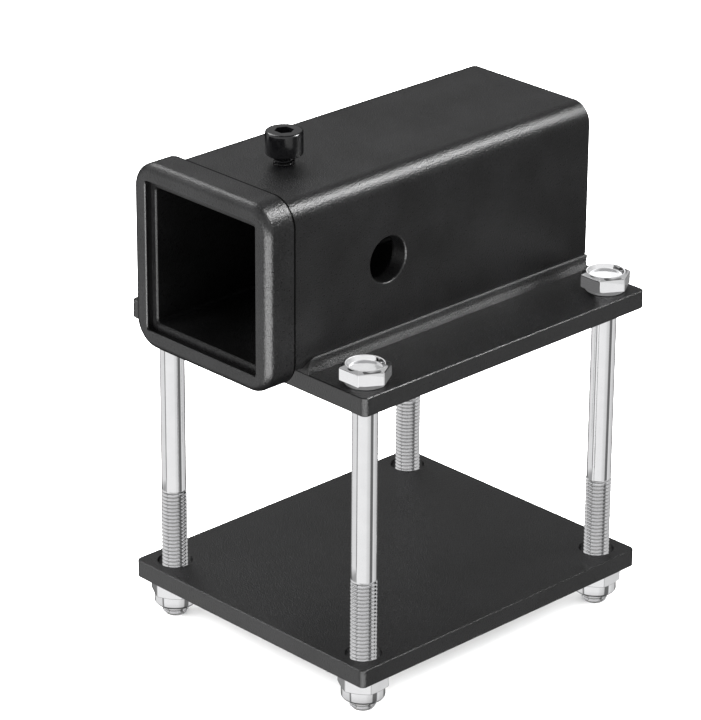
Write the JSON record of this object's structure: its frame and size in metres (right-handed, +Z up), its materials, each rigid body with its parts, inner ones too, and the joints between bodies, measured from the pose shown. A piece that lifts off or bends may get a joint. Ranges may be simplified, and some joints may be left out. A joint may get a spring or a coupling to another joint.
{
  "type": "bumper hitch receiver",
  "caption": "Square receiver tube with a mouth collar, welded to a top plate that is bolted to a lower clamp plate so that the pair grips a square bumper beam.",
  "frame": {"origin": "centre of the bounding box's base, on the plane of the four bolt ends and half way between the collar's face and the plates' rear edge", "axes": "+Z up, the receiver's mouth faces -Y, +X to the right across the bumper beam's run; X = 0 is the tube's centre plane"},
  "size_m": [0.125, 0.1672, 0.2086],
  "materials": {
    "powder_coat": "satin black powder coat with fine grain",
    "weld": "powder-coated weld bead, grainy",
    "black_oxide": "gloss black oxide",
    "zinc": "bright zinc plate",
    "nylon": "natural nylon"
  },
  "bodies": {
    "receiver": {"receiver_tube": "powder_coat", "mouth_collar": "powder_coat", "top_plate": "powder_coat", "weld_bead_left": "weld", "weld_bead_right": "weld"},
    "clamp": {"clamp_plate": "powder_coat"},
    "anti_rattle": {"anti_rattle_bolt": "black_oxide"},
    "bolt_front_left": {"hex_bolt_front_left": "zinc"},
    "nut_front_left": {"lock_nut_front_left": "zinc", "nylon_ring_front_left": "nylon"},
    "bolt_front_right": {"hex_bolt_front_right": "zinc"},
    "nut_front_right": {"lock_nut_front_right": "zinc", "nylon_ring_front_right": "nylon"},
    "bolt_rear_left": {"hex_bolt_rear_left": "zinc"},
    "nut_rear_left": {"lock_nut_rear_left": "zinc", "nylon_ring_rear_left": "nylon"},
    "bolt_rear_right": {"hex_bolt_rear_right": "zinc"},
    "nut_rear_right": {"lock_nut_rear_right": "zinc", "nylon_ring_rear_right": "nylon"}
  },
  "joints": [
    {"name": "clamp_slide", "type": "slide", "parent": "receiver", "child": "clamp", "axis": [0, 0, 1], "range_m": [-0.003, 0.035]},
    {"name": "anti_rattle_travel", "type": "slide", "parent": "receiver", "child": "anti_rattle", "axis": [0, 0, 1], "range_m": [-0.0036, 0.0051]},
    {"name": "bolt_turn_front_left", "type": "hinge", "parent": "receiver", "child": "bolt_front_left", "pos_m": [-0.05175, -0.05183, 0.13], "axis": [0, 0, 1], "continuous": true},
    {"name": "nut_turn_front_left", "type": "hinge", "parent": "clamp", "child": "nut_front_left", "pos_m": [-0.05175, -0.05183, 0.0148], "axis": [0, 0, 1], "range_deg": [-760, 8440]},
    {"name": "bolt_turn_front_right", "type": "hinge", "parent": "receiver", "child": "bolt_front_right", "pos_m": [0.05175, -0.05183, 0.13], "axis": [0, 0, 1], "continuous": true},
    {"name": "nut_turn_front_right", "type": "hinge", "parent": "clamp", "child": "nut_front_right", "pos_m": [0.05175, -0.05183, 0.0148], "axis": [0, 0, 1], "range_deg": [-760, 8440]},
    {"name": "bolt_turn_rear_left", "type": "hinge", "parent": "receiver", "child": "bolt_rear_left", "pos_m": [-0.05175, 0.07297, 0.13], "axis": [0, 0, 1], "continuous": true},
    {"name": "nut_turn_rear_left", "type": "hinge", "parent": "clamp", "child": "nut_rear_left", "pos_m": [-0.05175, 0.07297, 0.0148], "axis": [0, 0, 1], "range_deg": [-760, 8440]},
    {"name": "bolt_turn_rear_right", "type": "hinge", "parent": "receiver", "child": "bolt_rear_right", "pos_m": [0.05175, 0.07297, 0.13], "axis": [0, 0, 1], "continuous": true},
    {"name": "nut_turn_rear_right", "type": "hinge", "parent": "clamp", "child": "nut_rear_right", "pos_m": [0.05175, 0.07297, 0.0148], "axis": [0, 0, 1], "range_deg": [-760, 8440]}
  ],
  "couplings": [
    {"joint": "nut_turn_front_left", "follows": "clamp_slide", "rad_per_m": 4188.8},
    {"joint": "nut_turn_front_right", "follows": "clamp_slide", "rad_per_m": 4188.8},
    {"joint": "nut_turn_rear_left", "follows": "clamp_slide", "rad_per_m": 4188.8},
    {"joint": "nut_turn_rear_right", "follows": "clamp_slide", "rad_per_m": 4188.8}
  ]
}
